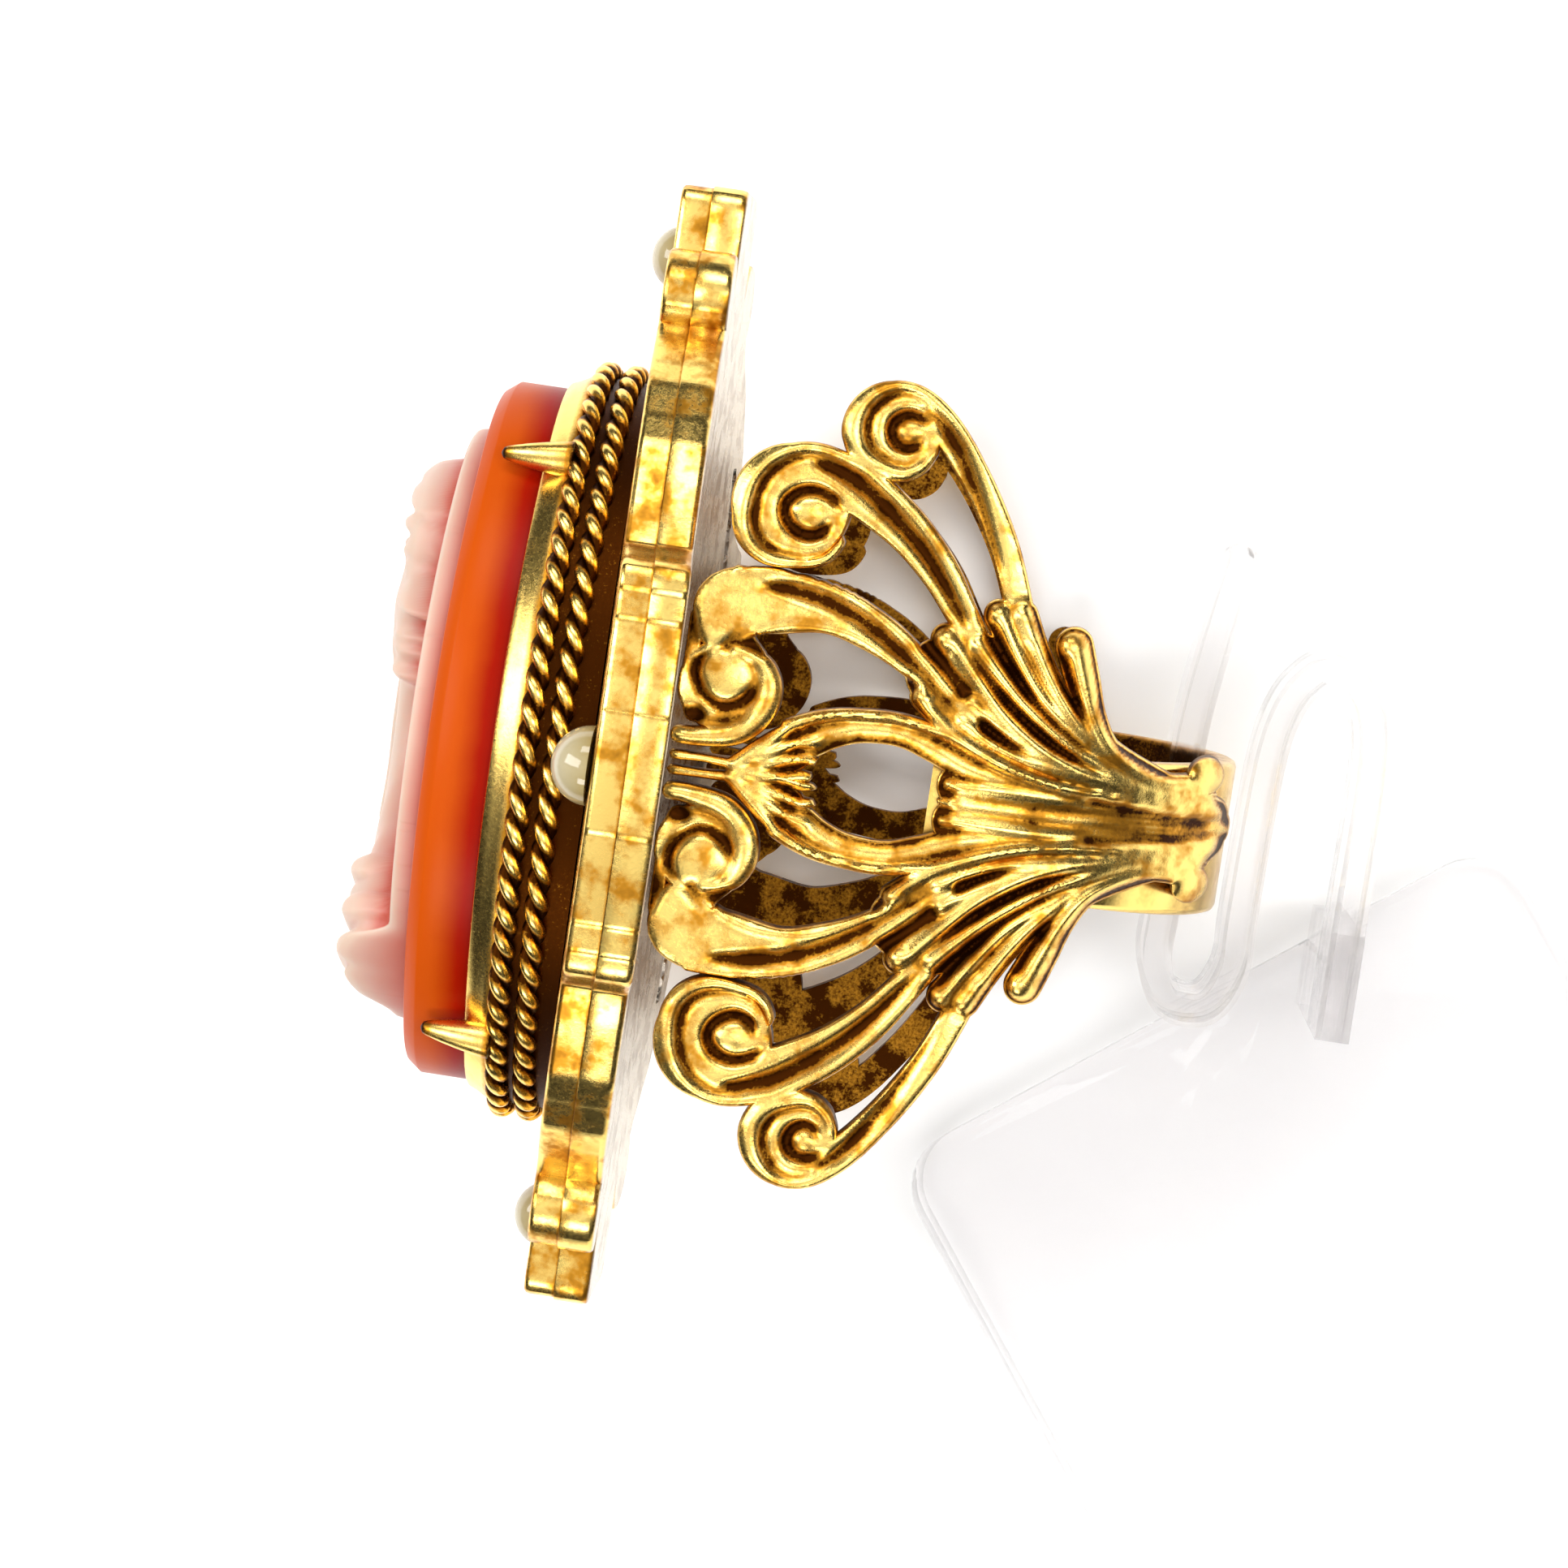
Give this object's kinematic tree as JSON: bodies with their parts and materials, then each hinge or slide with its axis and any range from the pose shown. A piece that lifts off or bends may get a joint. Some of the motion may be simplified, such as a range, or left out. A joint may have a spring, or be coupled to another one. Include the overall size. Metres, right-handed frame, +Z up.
{
  "type": "cameo ring on clip stand",
  "caption": "Large cameo ring with a carnelian slab, pale bust relief, twisted-wire borders and pierced palmette shoulders, lying on its side in a clear clip stand.",
  "frame": {"origin": "middle of the clip stand's underside, on the surface that everything lies on", "axes": "+Z up from the surface, +Y along the finger hole towards the cameo's upper end, +X from the cameo towards the band's back"},
  "size_m": [0.0547, 0.0547, 0.0259],
  "materials": {
    "plate_gold": "worn polished gold plate",
    "setting_gold": "satin gold plate with dark recesses",
    "band_gold": "polished gold plate",
    "stamped_gold": "matte stamped gold plate with bright rims",
    "carnelian": "polished, slightly translucent",
    "pale_layer": "satin, carved, translucent",
    "moonstone": "polished cabochon",
    "clear_plastic": "clear, glossy"
  },
  "bodies": {
    "root": {"frame_plate": "plate_gold", "setting_cup": "setting_gold", "carnelian": "carnelian", "cameo_relief": "pale_layer", "dome_top": "moonstone", "dome_bottom": "moonstone", "dome_near": "moonstone", "dome_far": "moonstone", "band": "band_gold", "shoulder_near": "stamped_gold", "shoulder_far": "stamped_gold", "clip_stand": "clear_plastic"}
  },
  "joints": []
}
